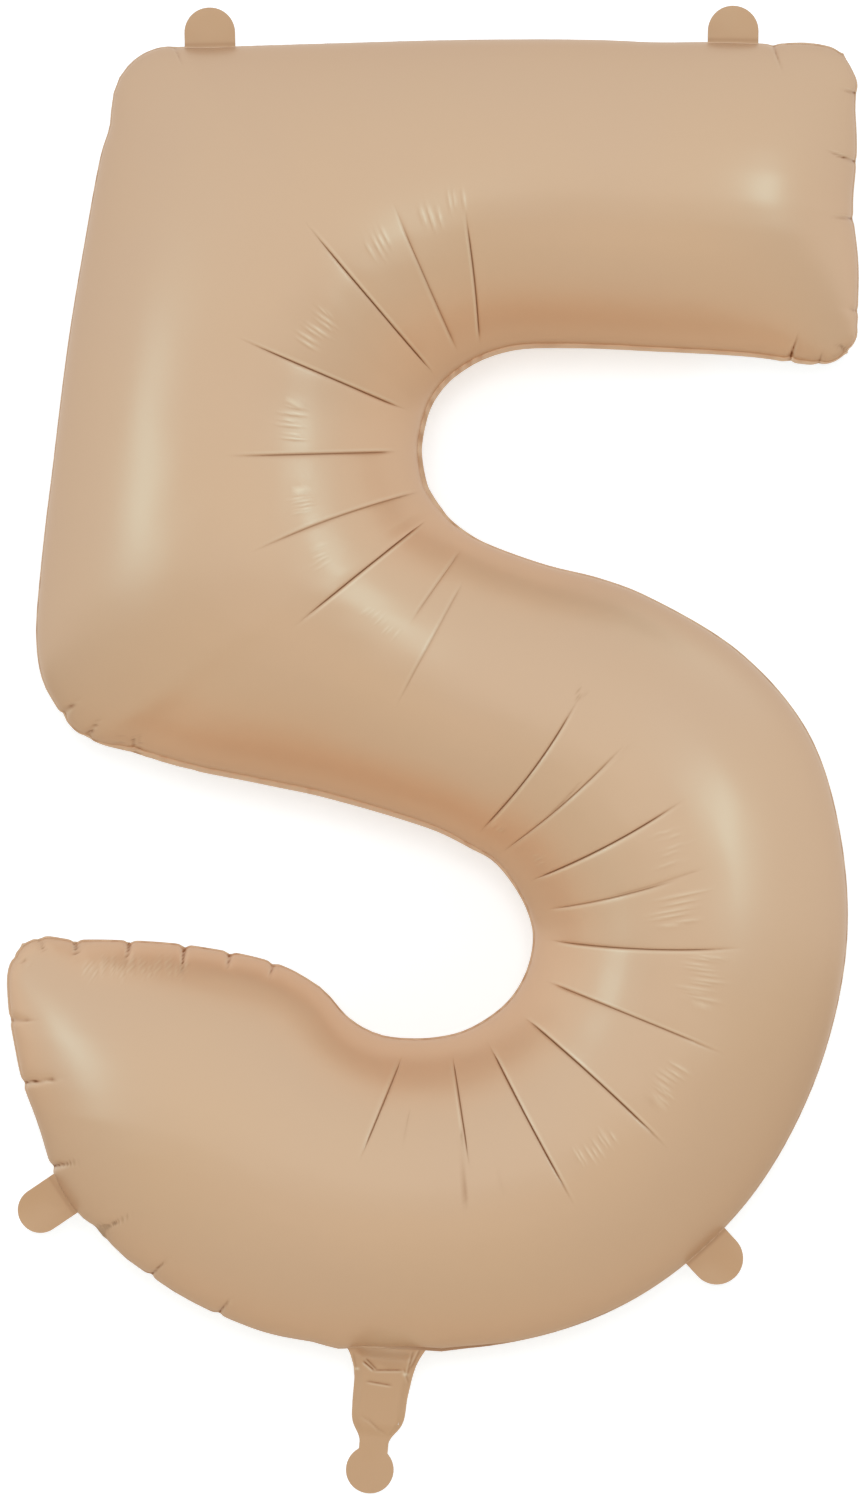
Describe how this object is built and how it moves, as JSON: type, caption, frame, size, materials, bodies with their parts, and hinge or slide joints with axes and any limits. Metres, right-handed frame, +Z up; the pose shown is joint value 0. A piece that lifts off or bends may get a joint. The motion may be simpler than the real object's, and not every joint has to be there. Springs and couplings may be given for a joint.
{
  "type": "foil number balloon",
  "caption": "Filled foil balloon in the shape of the figure 5, with hanging tabs round its edge and a self-sealing filling tail.",
  "frame": {"origin": "middle of the whole balloon's box, in the plane of the welded seam", "axes": "+X to the right of someone reading the figure, +Z up, -Y towards the reader"},
  "size_m": [0.4948, 0.2128, 0.8664],
  "materials": {
    "foil_front": "satin metallised film",
    "foil_back": "satin metallised film",
    "foil_welded": "satin metallised film, two plies welded flat",
    "valve_film": "thin milky film"
  },
  "bodies": {
    "envelope": {"front_panel": "foil_front", "back_panel": "foil_back", "valve_front_film": "valve_film", "valve_back_film": "valve_film"},
    "top_left_tab": {"tab_top_left": "foil_welded"},
    "top_right_tab": {"tab_top_right": "foil_welded"},
    "lower_right_tab": {"tab_lower_right": "foil_welded"},
    "lower_left_tab": {"tab_lower_left": "foil_welded"},
    "tail": {"tail_front_film": "foil_welded", "tail_back_film": "foil_welded", "neck_valve_front_film": "valve_film", "neck_valve_back_film": "valve_film"},
    "end_tab": {"tail_end_tab": "foil_welded"}
  },
  "joints": [
    {"name": "top_left_tab_fold", "type": "hinge", "parent": "envelope", "child": "top_left_tab", "pos_m": [-0.13147, 0, 0.4091], "axis": [0.9998, 0, 0.0194], "range_deg": [-85, 85], "stiffness_Nm_per_rad": 0.0003},
    {"name": "top_right_tab_fold", "type": "hinge", "parent": "envelope", "child": "top_right_tab", "pos_m": [0.1754, 0, 0.41172], "axis": [0.9999, 0, -0.0154], "range_deg": [-85, 85], "stiffness_Nm_per_rad": 0.0003},
    {"name": "lower_right_tab_fold", "type": "hinge", "parent": "envelope", "child": "lower_right_tab", "pos_m": [0.15844, 0, -0.28958], "axis": [-0.7336, 0, -0.6795], "range_deg": [-85, 85], "stiffness_Nm_per_rad": 0.0003},
    {"name": "lower_left_tab_fold", "type": "hinge", "parent": "envelope", "child": "lower_left_tab", "pos_m": [-0.21578, 0, -0.25963], "axis": [-0.5573, 0, 0.8303], "range_deg": [-85, 85], "stiffness_Nm_per_rad": 0.0003},
    {"name": "tail_fold", "type": "hinge", "parent": "envelope", "child": "tail", "pos_m": [-0.02793, 0, -0.34979], "axis": [-0.9961, 0, 0.0879], "range_deg": [-85, 85], "stiffness_Nm_per_rad": 0.0003},
    {"name": "end_tab_fold", "type": "hinge", "parent": "tail", "child": "end_tab", "pos_m": [-0.0327, 0, -0.40383], "axis": [-0.9961, 0, 0.0879], "range_deg": [-90, 90], "stiffness_Nm_per_rad": 0.0003}
  ]
}
